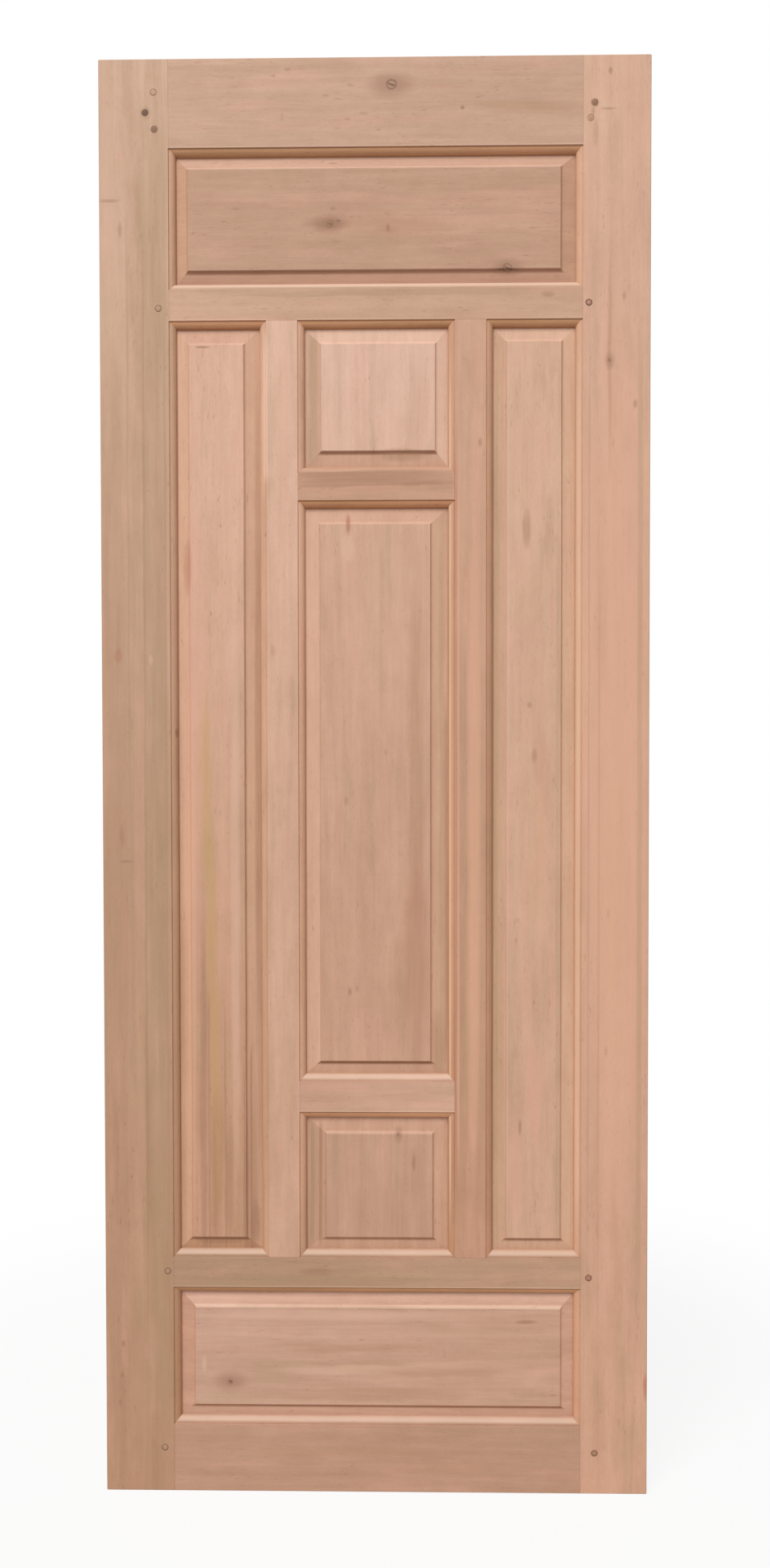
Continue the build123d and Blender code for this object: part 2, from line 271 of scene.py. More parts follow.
    def deepen(self, colour: Socket, depth: Signal, taken: Colour = WARMING) -> Socket:
        """Darkens a wood colour by a share and warms it, as wet or dense wood is; it also paints
        shade.
        """
        sockets = {0: colour, 1: self.scale(depth, taken, WHITE)}
        return self.node("VectorMath", {"operation": "MULTIPLY"}, sockets).outputs[0]

    def finish(
        self, colour: Socket, roughness: Signal, height: Signal, relief: float, rise: float
    ) -> None:
        """Ends the tree with a matt shader over a relief that rises by so many mm."""
        bump = {"Strength": relief, "Distance": rise * MM, "Height": height}
        normal = self.node("Bump", {}, bump).outputs[0]
        sockets = {"Base Color": colour, "Roughness": roughness, "Normal": normal}
        sockets["Specular IOR Level"] = MATT_GLOSS
        shader = self.node("BsdfPrincipled", sockets=sockets)
        self.node("OutputMaterial", sockets={"Surface": shader.outputs[0]})


# Timber

DRIFT = Feature((80.0, 80.0, 500.0))
SWAY = Feature((30.0, 30.0, 150.0))
STREAK = Feature((6.5, 6.5, 130.0), 3.0, 0.6)
FIBRE = Feature((0.9, 0.9, 34.0), 2.0, 0.6)
CURL = Feature((22.0, 22.0, 26.0), 3.0, 0.6)
PATCH = Feature((38.0, 38.0, 260.0), 3.0, 0.55)
CLOUD = Feature((26.0, 26.0, 78.0), 3.0, 0.55)
HUE = Feature((24.0, 24.0, 320.0))
PORE = Feature((0.45, 0.45, 7.0), 1.0)
FLECK = Feature((2.6, 2.6, 15.0), 1.0)


class Grain(Enum):
    """The way a board's fibres run, by the axis of its length."""

    LYING = 0
    UPRIGHT = 2


class Form(Enum):
    """The outline of a mark: a soft oval, or a stripe of even strength with softer edges."""

    PATCH = "patch"
    STRIPE = "stripe"


class Side(Enum):
    """The face of the leaf that a mark shows on."""

    FRONT = "front"
    BACK = "back"
    BOTH = "both"


class Tone(Enum):
    """Tones of the marks in the bare timber, as display colours; CREAM also paints highlights."""

    CREAM = (238, 205, 182)
    PALE = (226, 186, 162)
    PEACH = (230, 176, 146)
    ROSE = (222, 168, 146)
    OLIVE = (168, 138, 104)
    YELLOW = (196, 156, 104)
    TAN = (178, 136, 106)
    BROWN = (150, 108, 82)
    RUST = (170, 104, 74)
    DARK = (104, 74, 56)
    CORE = (78, 54, 44)


@dataclass(frozen=True)
class Mark:
    """A patch or stripe of another tone.

    Places and half sizes are in mm, as seen on the leaf's front. A ragged mark wanders with the
    fibres. A long one runs right through the board, and shows on both faces.
    """

    x: float
    z: float
    wide: float
    tall: float
    tone: Tone
    strength: float
    ragged: float = 0.3
    form: Form = Form.PATCH
    side: Side = Side.FRONT

    def shows_on(self) -> Side:
        """The faces that the mark reaches."""
        return Side.BOTH if max(self.wide, self.tall) > RUNS_THROUGH else self.side


def stripe(
    x: float, z: float, wide: float, tall: float, tone: Tone, strength: float, ragged: float = 0.3
) -> Mark:
    """A mark of even strength, with softer edges than a patch."""
    return Mark(x, z, wide, tall, tone, strength, ragged, Form.STRIPE)


@dataclass(frozen=True)
class Knot:
    """A knot that the fibres flow round: its halo, and how far a ring and check hide its core."""

    x: float
    z: float
    radius: float
    strength: float = 0.8
    halo: float = 3.0
    side: Side = Side.FRONT
    ring: float = 0.25


@dataclass(frozen=True)
class Bevel:
    """One slope of a raised panel: its width in mm, its tone, and its painted shade or highlight at
    the field.
    """

    width: float
    tone: Display
    edge: float = 0.15


# The four slopes round a panel's field: on the left, on the right, at the foot and at the top
Bevels = tuple[Bevel, Bevel, Bevel, Bevel]


@dataclass(frozen=True)
class Board:
    """One board: its tones at the low and the high end, where its log's heart lay, and its marks.

    The heart is a place across the board and a depth, in mm. The lean is how far the heart drifts
    sideways and in depth for each mm along. The tenon is how far each end goes into its neighbour.
    Shade scales its painted shade under a rail; the field after it, its painted edge highlights.
    """

    node: str
    grain: Grain
    low_tone: Display
    high_tone: Display
    heart: Span
    lean: Span = (0.01, 0.0)
    figure: float = 1.0
    tenon: float = 0.0
    shade: float = 1.0
    # Strength of the painted highlights on the upper edge's ovolo and on the lower edge's arris
    painted_highlight: float = 1.0
    bevels: Bevels | None = None
    marks: tuple[Mark, ...] = ()
    knots: tuple[Knot, ...] = ()

    def ends(self) -> Span:
        """Where the board starts and ends along its grain, in mm."""
        low, high = (corner[self.grain.value] * METRES_TO_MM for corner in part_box(self.node))
        return low, high


@dataclass(frozen=True)
class Opening:
    """Panel opening between its four sight lines, in mm."""

    left: float
    right: float
    bottom: float
    top: float

    @classmethod
    def round_panel(cls, node: str) -> "Opening":
        """Reads the sight lines from the box of the panel in the opening's grooves."""
        low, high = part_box(node)
        return cls(
            low[0] * METRES_TO_MM + PANEL_IN_GROOVE,
            high[0] * METRES_TO_MM - PANEL_IN_GROOVE,
            low[2] * METRES_TO_MM + PANEL_ON_GROOVE,
            high[2] * METRES_TO_MM - PANEL_IN_GROOVE,
        )

    def beyond(self, x: Signal, z: Signal) -> Three:
        """How far a point lies beyond the nearer side, the top and the foot; inside is negative."""
        sideways = abs(x - (self.left + self.right) / 2) - (self.right - self.left) / 2
        return sideways, z - self.top, self.bottom - z

    def touches(self, node: str, near: float = 1.0) -> bool:
        """Whether a board has an edge on this opening, or no farther from it than so many mm."""
        low, high = (tuple(part * METRES_TO_MM for part in corner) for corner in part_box(node))
        across = low[0] < self.right + near and high[0] > self.left - near
        return across and low[2] < self.top + near and high[2] > self.bottom - near


@dataclass(frozen=True)
class Spot:
    """What a material knows about the point that it colours, on the bench that it works on."""

    bench: Bench
    board: Board
    x: Signal
    y: Signal
    z: Signal
    along: Signal
    flow: Signal
    wobble: Signal
    streak: Signal
    fibre: Signal
    curl: Signal
    front: Signal

    def shown_on(self, side: Side) -> Signal | float:
        """Where a mark on that face of the leaf shows."""
        if side is Side.BOTH:
            return 1.0
        return self.front if side is Side.FRONT else 1.0 - self.front


@dataclass(frozen=True)
class KnotLook:
    """How a knot is drawn: places in its own radii, and how well each part covers."""

    ripple: float = 1.1
    stretch: float = 0.28
    halo_inside: float = 0.5
    halo_cover: float = 0.55
    body: Span = (1.2, 0.6)
    body_cover: float = 0.40
    body_rise: float = 0.3
    core: Span = (0.85, 0.10)
    core_offset: float = 0.25
    core_cover: float = 0.75
    rim: Line = Line(0.9, 0.35, 0.0)
    rim_cover: float = 0.60
    check: Line = Line(0.0, 0.30, 0.05)
    check_slant: Span = (0.9, 0.4)
    check_reach: Span = (1.0, 0.4)
    check_cover: float = 0.25
    check_ring_cover: float = 0.50
    check_depth: float = 0.9


@dataclass(frozen=True)
class SlopeLook:
    """How a panel's slopes are drawn, by distances in mm from the field's edge."""

    cover: float = 0.75
    mitre_blur: float = 0.05
    end_outside: float = 0.4
    end_inside: float = 1.6
    # Painted shade just under the field's foot edge, and a painted highlight just over its top edge
    below_field: Line = Line(-2.6, 3.8, 0.8)
    above_field: Line = Line(-0.4, 3.0, 0.6)


@dataclass(frozen=True)
class EdgeLook:
    """Painted shade and painted highlights round an opening, in mm from its sight line, and joint
    lines.
    """

    # Painted shade along the sight line: faint at the sides, deeper under a rail, none at the foot
    sight_line: Line = Line(0.0, 2.2, 0.2)
    side_depth: float = 0.07
    under_depth: float = 0.22
    # Painted shade in the quirk and painted warm shade in the ovolo's recess, weaker at the sides
    quirk: Line = Line(8.7, 0.9, 0.1)
    quirk_depth: float = 0.24
    recess: Line = Line(4.4, 5.8, 4.4)
    recess_amber: float = 0.40
    side_share: float = 0.35
    # Painted highlights: on a rail's up-facing ovolo, and on the arris along a rail's underside
    ovolo_highlight: Line = Line(2.9, 5.2, 1.2)
    highlight_cover: float = 0.50
    arris: Line = Line(10.6, 1.5, 0.2)
    arris_cover: float = 0.50
    shoulder: Line = Line(0.0, 1.1, 0.1)
    shoulder_depth: float = 0.30
    mitre_blur: float = 0.7


@dataclass(frozen=True)
class RawTimber:
    """Planed and sanded timber without any finish: growth rings, fibres, pores, knots and stains.

    Depths are the shares of light that a feature takes, and rises its part in the relief. Spans say
    where on a noise a soft step starts and ends.
    """

    seed_shift: Point = (13.7, 5.1, 29.3)
    flow_reach: float = 0.45
    sway: float = 3.0
    curl_sway: float = 1.2
    face_depth: float = 5.0
    heart_drift: Span = (40.0, 30.0)
    ring_spacing: float = 15.0
    ring_layers: float = 3.0
    ring_rough: float = 0.6
    ring_depth: float = 0.17
    ring_rise: float = 0.3
    streak_depth: float = 0.17
    streak_rise: float = 0.3
    streak_rough: float = 0.15
    line_swing: float = 1.4
    fibre_depth: float = 0.13
    fibre_rise: float = 0.5
    fibre_rough: float = 0.25
    patch_depth: float = 0.20
    cloud_depth: float = 0.16
    mottle_depth: float = 0.12
    hue_share: float = 0.6
    olive: Span = (0.01, 0.16)
    rose: Span = (-0.01, -0.16)
    stain: float = 0.26
    pore: Span = (0.10, 0.22)
    pore_depth: float = 0.14
    pore_rise: float = 0.5
    fleck: Span = (0.16, 0.26)
    fleck_cloud: Span = (-0.06, 0.10)
    fleck_depth: float = 0.22
    stripe_side: Line = Line(0.0, 1.0, 0.45)
    stripe_end: Line = Line(0.0, 1.0, 0.75)
    mark_swing: float = 1.1
    roughness: float = 0.62
    relief: float = 0.30
    rise: float = 0.15
    slopes: SlopeLook = SlopeLook()
    knots: KnotLook = KnotLook()
    edges: EdgeLook = EdgeLook()

    def material(self, board: Board, openings: Sequence[Opening], seed: int) -> bpy.types.Material:
        """Builds the material of one board.

        Args:
            board: The board.
            openings: The panel openings that it has an edge on.
            seed: Its number, which makes its noise its own.

        Returns:
            The finished material.
        """
        bench, material = Bench.for_material(f"timber_{board.node}")
        shift = tuple(seed * step for step in self.seed_shift)
        spot = self._spot(bench, board, shift)
        colour, height = self._clear_wood(spot, openings, shift)
        for mark in board.marks:
            colour = self._mark(spot, mark, colour)
        for knot in board.knots:
            colour, height = self._knot(spot, knot, colour, height)
        colour = self._creases(spot, openings, colour)
        rough = spot.fibre * self.fibre_rough + spot.streak * self.streak_rough
        bench.finish(colour, self.roughness + rough, height, self.relief, self.rise)
        return material

    def _spot(self, bench: Bench, board: Board, shift: Point) -> Spot:
        """Works out where a point lies in the board, with fibres that stream round its knots."""
        x, y, z = bench.place()
        upright = board.grain is Grain.UPRIGHT
        across, along = (x, z) if upright else (z, x)
        flow = across
        for knot in board.knots:
            knot_across, knot_along = (knot.x, knot.z) if upright else (knot.z, knot.x)
            side = across - knot_across
            far = (along - knot_along) * self.flow_reach
            area = knot.radius ** 2
            flow = flow - side * area / (side * side + far * far).at_least(area)
        grain = bench.join(flow, y, along)
        sway = bench.noises(grain, SWAY, shift)[0]
        streak = bench.noise(grain, STREAK, shift)
        fibre = bench.noise(grain, FIBRE, shift)
        curl = bench.noise(bench.join(across, y, along), CURL, shift)
        wobble = sway * self.sway + curl * self.curl_sway
        front = bench.fade(y, self.face_depth, -self.face_depth)
        return Spot(bench, board, x, y, z, along, flow, wobble, streak, fibre, curl, front)

    def _clear_wood(
        self, spot: Spot, openings: Sequence[Opening], shift: Point
    ) -> tuple[Socket, Signal]:
        """Colour and relief of the timber away from its marks."""
        bench, board = spot.bench, spot.board
        grain = bench.join(spot.flow, spot.y, spot.along)
        drift = bench.noises(grain, DRIFT, shift)
        cloud, cloud_hue, cloud_strength = bench.noises(grain, CLOUD, shift)
        patch = bench.noise(grain, PATCH, shift)
        hue = bench.noise(grain, HUE, shift) * self.hue_share + cloud_hue * (1.0 - self.hue_share)
        pores = bench.fade(bench.noise(grain, PORE, shift), *self.pore)
        flecks = bench.fade(bench.noise(grain, FLECK, shift), *self.fleck)

        side, deep = (
            place + sway * reach - heart + spot.along * lean
            for place, sway, reach, heart, lean in zip(
                (spot.flow, spot.y), drift, self.heart_drift, board.heart, board.lean
            )
        )
        age = (side * side + deep * deep).root() / self.ring_spacing
        rings = bench.bands(age, self.ring_layers, self.ring_rough)

        colour = bench.blend(bench.fade(spot.along, *board.ends()), board.low_tone, board.high_tone)
        colour = bench.blend(bench.fade(hue, *self.olive) * self.stain, colour, Tone.OLIVE.value)
        colour = bench.blend(bench.fade(hue, *self.rose) * self.stain, colour, Tone.ROSE.value)
        if board.bevels:
            colour = self._slopes(spot, board.bevels, openings[0], colour)
        lines = rings * (self.ring_depth * board.figure)
        lines = lines + spot.streak * self.streak_depth
        depth = (
            lines * (1.0 + cloud_strength * self.line_swing)
            + spot.fibre * self.fibre_depth
            + patch * self.patch_depth
            + cloud * self.cloud_depth
            + spot.curl * self.mottle_depth
            + pores * self.pore_depth
            + flecks * bench.fade(cloud_strength, *self.fleck_cloud) * self.fleck_depth
        )
        height = (
            spot.fibre * self.fibre_rise
            + spot.streak * self.streak_rise
            + rings * self.ring_rise
            - pores * self.pore_rise
        )
        return bench.deepen(colour, depth), height

    def _slopes(self, spot: Spot, bevels: Bevels, opening: Opening, colour: Socket) -> Socket:
        """Gives each slope its own tone up to the mitres, paints shade under the field and a
        highlight over it.
        """
        bench, look = spot.bench, self.slopes
        inward = (
            spot.x - opening.left,
            opening.right - spot.x,
            spot.z - opening.bottom,
            opening.top - spot.z,
        )
        foot, top = bevels[2:]
        shares = [distance / cut.width for distance, cut in zip(inward, bevels)]
        nearest = shares[0].at_most(shares[1]).at_most(shares[2]).at_most(shares[3])
        own = [bench.fade(share - nearest, look.mitre_blur, 0.0) for share in shares]
        to_field = [distance - cut.width for distance, cut in zip(inward, bevels)]
        for distance, cut, here in zip(to_field, bevels, own):
            slope = here * bench.fade(distance, look.end_outside, -look.end_inside)
            colour = bench.blend(slope * look.cover, colour, cut.tone)
        # Painted shade under the field's foot edge, and a painted cream highlight over its top edge
        below = bench.line(to_field[2], look.below_field) * own[2] * foot.edge
        above = bench.line(to_field[3], look.above_field) * own[3] * top.edge
        return bench.deepen(bench.blend(above, colour, Tone.CREAM.value), below)

    def _mark(self, spot: Spot, mark: Mark, colour: Socket) -> Socket:
        """Lays one mark over the colour."""
        bench = spot.bench
        sideways = (spot.x - mark.x) / mark.wide
        upwards = (spot.z - mark.z) / mark.tall
        if spot.board.grain is Grain.UPRIGHT:
            sideways = sideways + spot.wobble * mark.ragged
        else:
            upwards = upwards + spot.wobble * mark.ragged
        if mark.form is Form.PATCH:
            cover = bench.fade(sideways * sideways + upwards * upwards, 1.0, 0.0)
        else:
            cover = bench.line(sideways, self.stripe_side) * bench.line(upwards, self.stripe_end)
        cover = cover * (1.0 + spot.streak * self.mark_swing) * spot.shown_on(mark.shows_on())
        return bench.blend(cover * mark.strength, colour, mark.tone.value)

    def _knot(
        self, spot: Spot, knot: Knot, colour: Socket, height: Signal
    ) -> tuple[Socket, Signal]:
        """Lays one knot over the colour, and sinks its check into the relief."""
        bench, look = spot.bench, self.knots
        side = (spot.x - knot.x) / knot.radius
        far = (spot.z - knot.z) / knot.radius
        if spot.board.grain is Grain.LYING:
            side, far = far, side
        shown = spot.shown_on(knot.side) * knot.strength
        ripple = spot.curl * look.ripple
        out = (side * side + far * far).root() + ripple
        long_out = (side * side + far * far * look.stretch).root() + ripple
        slant_side, slant_far = look.check_slant
        halo = bench.fade(long_out, knot.halo, look.halo_inside) * shown
        body = bench.fade(out, *look.body) * shown
        core = bench.fade(out + side * look.core_offset, *look.core) * shown
        rim = bench.line(out, look.rim) * shown
        check = bench.line(side * slant_side + far * slant_far + ripple, look.check)
        check = check * bench.fade(out, *look.check_reach) * shown
        for cover, tone in (
            (halo * look.halo_cover, Tone.BROWN),
            (body * (look.body_cover * knot.ring), Tone.TAN),
            (core * (1.0 - knot.ring) * look.core_cover, Tone.DARK),
            (rim * (look.rim_cover * knot.ring), Tone.DARK),
            (check * (look.check_cover + look.check_ring_cover * knot.ring), Tone.CORE),
        ):
            colour = bench.blend(cover, colour, tone.value)
        return colour, height - check * look.check_depth + body * look.body_rise

    def _creases(self, spot: Spot, openings: Sequence[Opening], colour: Socket) -> Socket:
        """Paints shade in the creases and highlights on the edges round each opening, and darkens
        joints.
        """
        bench, board, look = spot.bench, spot.board, self.edges
        depth: Signal | float = 0.0
        amber: Signal | float = 0.0
        painted_highlight: Signal | float = 0.0
        for opening in openings:
            sideways, above, below = opening.beyond(spot.x, spot.z)
            reach = sideways.at_least(above).at_least(below)
            under, foot = (
                bench.fade(here - sideways.at_least(there), -look.mitre_blur, look.mitre_blur)
                for here, there in ((above, below), (below, above))
            )
            # Painted shade along the sight line and in the quirk, deepest under a rail, none at the
            # foot
            crease = look.side_depth + under * (look.under_depth * board.shade - look.side_depth)
            crease = crease - foot * look.side_depth
            shade = look.side_share + under * (1.0 - look.side_share) - foot * look.side_share
            quirk = bench.line(reach, look.quirk) * shade * look.quirk_depth
            depth = bench.line(reach, look.sight_line) * crease + quirk + depth
            # Painted warm shade in the ovolo's recess
            amber = bench.line(reach, look.recess) * shade + amber
            # Painted highlights on the ovolo of the rail below an opening and the arris of the rail
            # above
            painted_highlight = bench.line(reach, look.ovolo_highlight) * foot + painted_highlight
            painted_highlight = bench.line(reach, look.arris) * under * look.arris_cover + painted_highlight
        if board.tenon:
            low, high = board.ends()
            shoulder = abs(spot.along - (low + high) / 2) - ((high - low) / 2 - board.tenon)
            depth = depth + bench.line(shoulder, look.shoulder) * look.shoulder_depth
        # Cream paints the highlights, the painted shade and joint lines darken, and AMBER paints
        # warm shade
        colour = bench.blend(painted_highlight * (look.highlight_cover * board.painted_highlight), colour, Tone.CREAM.value)
        return bench.deepen(bench.deepen(colour, depth), amber * look.recess_amber, AMBER)


# Pegs

END_MOTTLE = Feature((1.6, 30.0, 1.6), 3.0, 0.6)
END_SPECK = Feature((0.5, 20.0, 0.5), 2.0, 0.6)


@dataclass(frozen=True)
class Peg:
    """One peg's place on the leaf in mm, its two tones, and how it was whittled."""

    x: float
    z: float
    heart: Display
    rim: Display
    turn: float
    squeeze: float


@dataclass(frozen=True)
class EndGrain:
    """Timber cut across, with a heart of its own in each peg: sizes are in mm."""

    mottle_shift: Point = (3.1, 0.7, 5.3)
    speck_shift: Point = (1.1, 2.7, 0.3)
    heart: Span = (2.2, 3.9)
    heart_ripple: float = 3.0
    reach: Span = (7.5, 6.5)
    line_slant: Span = (0.8, 0.6)
    line_spacing: float = 0.9
    line_layers: float = 2.0
    line_rough: float = 0.6
    figure_depth: float = 0.5
    figure_rise: float = 0.6
    roughness: float = 0.72
    speck_rough: float = 0.2
    relief: float = 0.4
    rise: float = 0.2

    def material(self, name: str, pegs: Sequence[Peg]) -> bpy.types.Material:
        """Builds the material that all pegs of one rail share."""
        bench, material = Bench.for_material(name)
        x, y, z = bench.place()
        place = bench.join(x, y, z)
        mottle = bench.noise(place, END_MOTTLE, self.mottle_shift)
        speck = bench.noise(place, END_SPECK, self.speck_shift)
        colour: Socket | Display = pegs[0].rim
        for peg in pegs:
            side, rise = x - peg.x, z - peg.z
            out = (side * side + rise * rise).root()
            ring = bench.fade(out + mottle * self.heart_ripple, *self.heart)
            tone = bench.blend(ring, peg.heart, peg.rim)
            colour = bench.blend(bench.fade(out, *self.reach), colour, tone)
        slant_x, slant_z = self.line_slant
        course = (x * slant_x + z * slant_z) / self.line_spacing
        lines = bench.bands(course, self.line_layers, self.line_rough)
        depth = (lines + mottle + speck) * self.figure_depth
        height = (lines + speck) * self.figure_rise
        roughness = self.roughness + speck * self.speck_rough
        bench.finish(bench.deepen(colour, depth), roughness, height, self.relief, self.rise)
        return material


@dataclass(frozen=True)
class HandCutPegs:
    """The pegs of one rail, whittled to a rough round and cut off flush with both faces.

    Sizes are in mm. The knife went deeper at one corner in so many, down to a share of the radius.
    """

    node: str
    pegs: tuple[Peg, ...]
    sides: int = 13
    radius: float = 4.93
    length: float = 35.0
    easing: float = 0.35
    easing_steps: int = 2
    deep_every: int = 4
    deep_share: float = 0.955
    crisp_angle: float = 35.0
    facing: float = 0.9

    def build(self) -> bpy.types.Object:
        """Models every peg and joins them into one piece."""
        pieces = [self._whittle(peg) for peg in self.pegs]
        bpy.ops.object.select_all(action="DESELECT")
        for piece in pieces:
            piece.select_set(True)
        bpy.context.view_layer.objects.active = pieces[0]
        bpy.ops.object.join()
        whole = bpy.context.active_object
        whole.name = f"{self.node}_cut"
        whole.data.materials.append(EndGrain().material(f"timber_{self.node}", self.pegs))
        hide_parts(self.node)
        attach(whole, "root")
        return whole

    def _whittle(self, peg: Peg) -> bpy.types.Object:
        """Models one peg: an uneven round rod with eased ends."""
        bpy.ops.object.select_all(action="DESELECT")
        bpy.ops.mesh.primitive_cylinder_add(
            vertices=self.sides,
            radius=self.radius * MM,
            depth=self.length * MM,
            location=(peg.x * MM, 0.0, peg.z * MM),
            rotation=(math.radians(90.0), math.radians(peg.turn), 0.0),
        )
        rod = bpy.context.active_object
        bpy.ops.object.transform_apply(location=False, rotation=True, scale=False)
        bpy.ops.object.mode_set(mode="EDIT")
        bpy.ops.transform.resize(value=(1.0, 1.0, peg.squeeze))
        bpy.ops.object.mode_set(mode="OBJECT")
        for index, vertex in enumerate(rod.data.vertices):
            vertex.select = (index // 2) % self.deep_every == 1
        for part in (*rod.data.edges, *rod.data.polygons):
            part.select = False
        bpy.ops.object.mode_set(mode="EDIT")
        bpy.ops.mesh.select_mode(type="VERT")
        bpy.ops.transform.resize(value=(self.deep_share, 1.0, self.deep_share))
        bpy.ops.mesh.select_all(action="DESELECT")
        bpy.ops.object.mode_set(mode="OBJECT")
        for face in rod.data.polygons:
            face.select = abs(face.normal.y) > self.facing
        bpy.ops.object.mode_set(mode="EDIT")
        bpy.ops.mesh.select_mode(type="FACE")
        bpy.ops.mesh.bevel(offset=self.easing * MM, segments=self.easing_steps, affect="EDGES")
        bpy.ops.object.mode_set(mode="OBJECT")
        bpy.ops.object.transform_apply(location=True, rotation=True, scale=True)
        bpy.ops.object.shade_smooth_by_angle(angle=math.radians(self.crisp_angle))
        return rod


# The door leaf's boards, with tones and grain by their bare names

CREAM, PALE, PEACH, ROSE, OLIVE, YELLOW, TAN, BROWN, RUST, DARK, _ = Tone
LYING, UPRIGHT = Grain

LEFT_STILE = Board(
    "left_stile", UPRIGHT, (182, 140, 111), (201, 164, 138), (-520, 60),
    marks=(
        stripe(-322, 1050, 26, 1100, OLIVE, 0.38),
        stripe(-337, 1000, 2.4, 900, BROWN, 0.2, 0.25),
        stripe(-306, 900, 2, 900, TAN, 0.4, 0.15),
        stripe(-360, 1400, 2, 500, TAN, 0.3),
        Mark(-386, 1850, 20, 300, PALE, 0.2),
        Mark(-385, 1000, 34, 900, TAN, 0.34, 0.15),
        Mark(-345, 900, 10, 700, PEACH, 0.16),
        Mark(-385, 1897, 22, 3.5, BROWN, 0.4),
        Mark(-369, 1855, 4, 15, BROWN, 0.45),
        Mark(-376, 1238, 7, 14, RUST, 0.3, 0.7),
        Mark(-372, 972, 5, 22, BROWN, 0.3, 0.9),
        Mark(-366, 936, 14, 3, BROWN, 0.4, 0.2),
        Mark(-328, 1232, 4, 10, CREAM, 0.22),
        Mark(-374, 220, 4, 7, BROWN, 0.5),
        Mark(-376, 173, 3.5, 6, BROWN, 0.45),
        Mark(-379, 132, 3.5, 6, BROWN, 0.45),
        Mark(-291, 1125, 3, 9, BROWN, 0.6),
        Mark(-332.2, 2023.2, 9, 12, BROWN, 0.35, side=Side.BOTH),
        Mark(-319.1, 1999.2, 7, 9, BROWN, 0.3, side=Side.BOTH),
    ),
    knots=(
        Knot(-352, 640, 8, 0.9, side=Side.BACK, ring=0.8),
        Knot(-330, 1480, 3, 0.8, 2.6, side=Side.BACK),
    ),
)
RIGHT_STILE = Board(
    "right_stile", UPRIGHT, (207, 161, 134), (211, 169, 143), (560, 40),
    figure=0.8,
    marks=(
        Mark(318.5, 2031.5, 7.5, 9, BROWN, 0.45, 0.2),
        Mark(316, 2019, 4, 9, BROWN, 0.45),
        Mark(312.5, 2010.5, 6, 5, BROWN, 0.4, 0.2),
        Mark(338, 2023, 15, 2.6, BROWN, 0.4, 0.2),
        Mark(330, 2013, 8, 6, PALE, 0.35),
        Mark(319, 1989, 5.5, 26, TAN, 0.5),
        Mark(341, 2077, 4.5, 7, BROWN, 0.5),
        Mark(341, 1660, 4, 190, BROWN, 0.4),
        Mark(362, 1755, 4, 8, BROWN, 0.4),
        Mark(378, 1600, 4, 8, DARK, 0.5),
        Mark(341, 860, 3.5, 10, BROWN, 0.4),
        Mark(338, 657, 3.5, 10, BROWN, 0.4),
        Mark(398, 160, 5, 26, RUST, 0.55),
        Mark(352, 1080, 66, 860, PEACH, 0.5, 0.1),
        Mark(372, 1180, 22, 700, ROSE, 0.25),
        # Painted highlight along the left-facing sticking
        stripe(296.5, 1030, 4.5, 720, CREAM, 0.42, 0),
        stripe(312, 1030, 1.6, 720, TAN, 0.3, 0.05),
        stripe(327, 800, 1.8, 600, TAN, 0.24, 0.2),
        stripe(386, 1000, 5, 800, OLIVE, 0.3, 0.1),
    ),
    knots=(
        Knot(341, 1663, 4, 0.8, 2.5),
        Knot(352, 1120, 9, 0.9, side=Side.BACK, ring=0.9),
        Knot(338, 240, 3.5, 0.8, 2.6, side=Side.BACK),
    ),
)
TOP_RAIL = Board(
    "top_rail", LYING, (196, 158, 133), (197, 158, 134), (1900, 60),
    tenon=RAIL_TENON, shade=0.3,
    marks=(
        Mark(220, 2027, 95, 13, TAN, 0.4),
        Mark(128, 2026, 4, 4, DARK, 0.5),
        Mark(-125, 2083, 7, 3, BROWN, 0.35),
        Mark(-70, 2045, 7, 3, BROWN, 0.3),
        Mark(-15, 2020, 8, 3, BROWN, 0.3),
    ),
    knots=(Knot(25, 2060, 7, 1, 3.4, ring=1), Knot(-140, 2015, 6, 0.9, side=Side.BACK, ring=0.6)),
)
FRIEZE_RAIL = Board(
    "frieze_rail", LYING, (202, 162, 136), (200, 160, 133), (1680, 90),
    tenon=RAIL_TENON,
    marks=(stripe(0, 1765, 330, 8, OLIVE, 0.3), Mark(252, 1759, 13, 5, BROWN, 0.4)),
)
LOCK_RAIL = Board(
    "lock_rail", LYING, (177, 140, 113), (189, 150, 122), (390, 70),
    tenon=RAIL_TENON, shade=1.7,
    marks=(Mark(-87, 330, 30, 9, BROWN, 0.35), stripe(-60, 313, 280, 9, OLIVE, 0.4)),
)
BOTTOM_RAIL = Board(
    "bottom_rail", LYING, (187, 146, 121), (185, 144, 119), (-60, 60),
    tenon=RAIL_TENON,
    marks=(Mark(-40, 60, 200, 11, TAN, 0.35), Mark(110, 35, 150, 8, TAN, 0.3)),
)
LEFT_MUNTIN = Board(
    "left_muntin", UPRIGHT, (206, 163, 136), (220, 178, 154), (-60, 70),
    tenon=MUNTIN_TENON,
    marks=(
        stripe(-161, 1035, 5, 700, TAN, 0.2, 0),
        # Painted highlight along the left-facing sticking, by its arris
        stripe(-159, 1600, 4.5, 120, CREAM, 0.5, 0),
        Mark(-150, 1245, 7, 12, RUST, 0.24, 0.7),
        Mark(-118, 1100, 9, 640, TAN, 0.1),
    ),
)
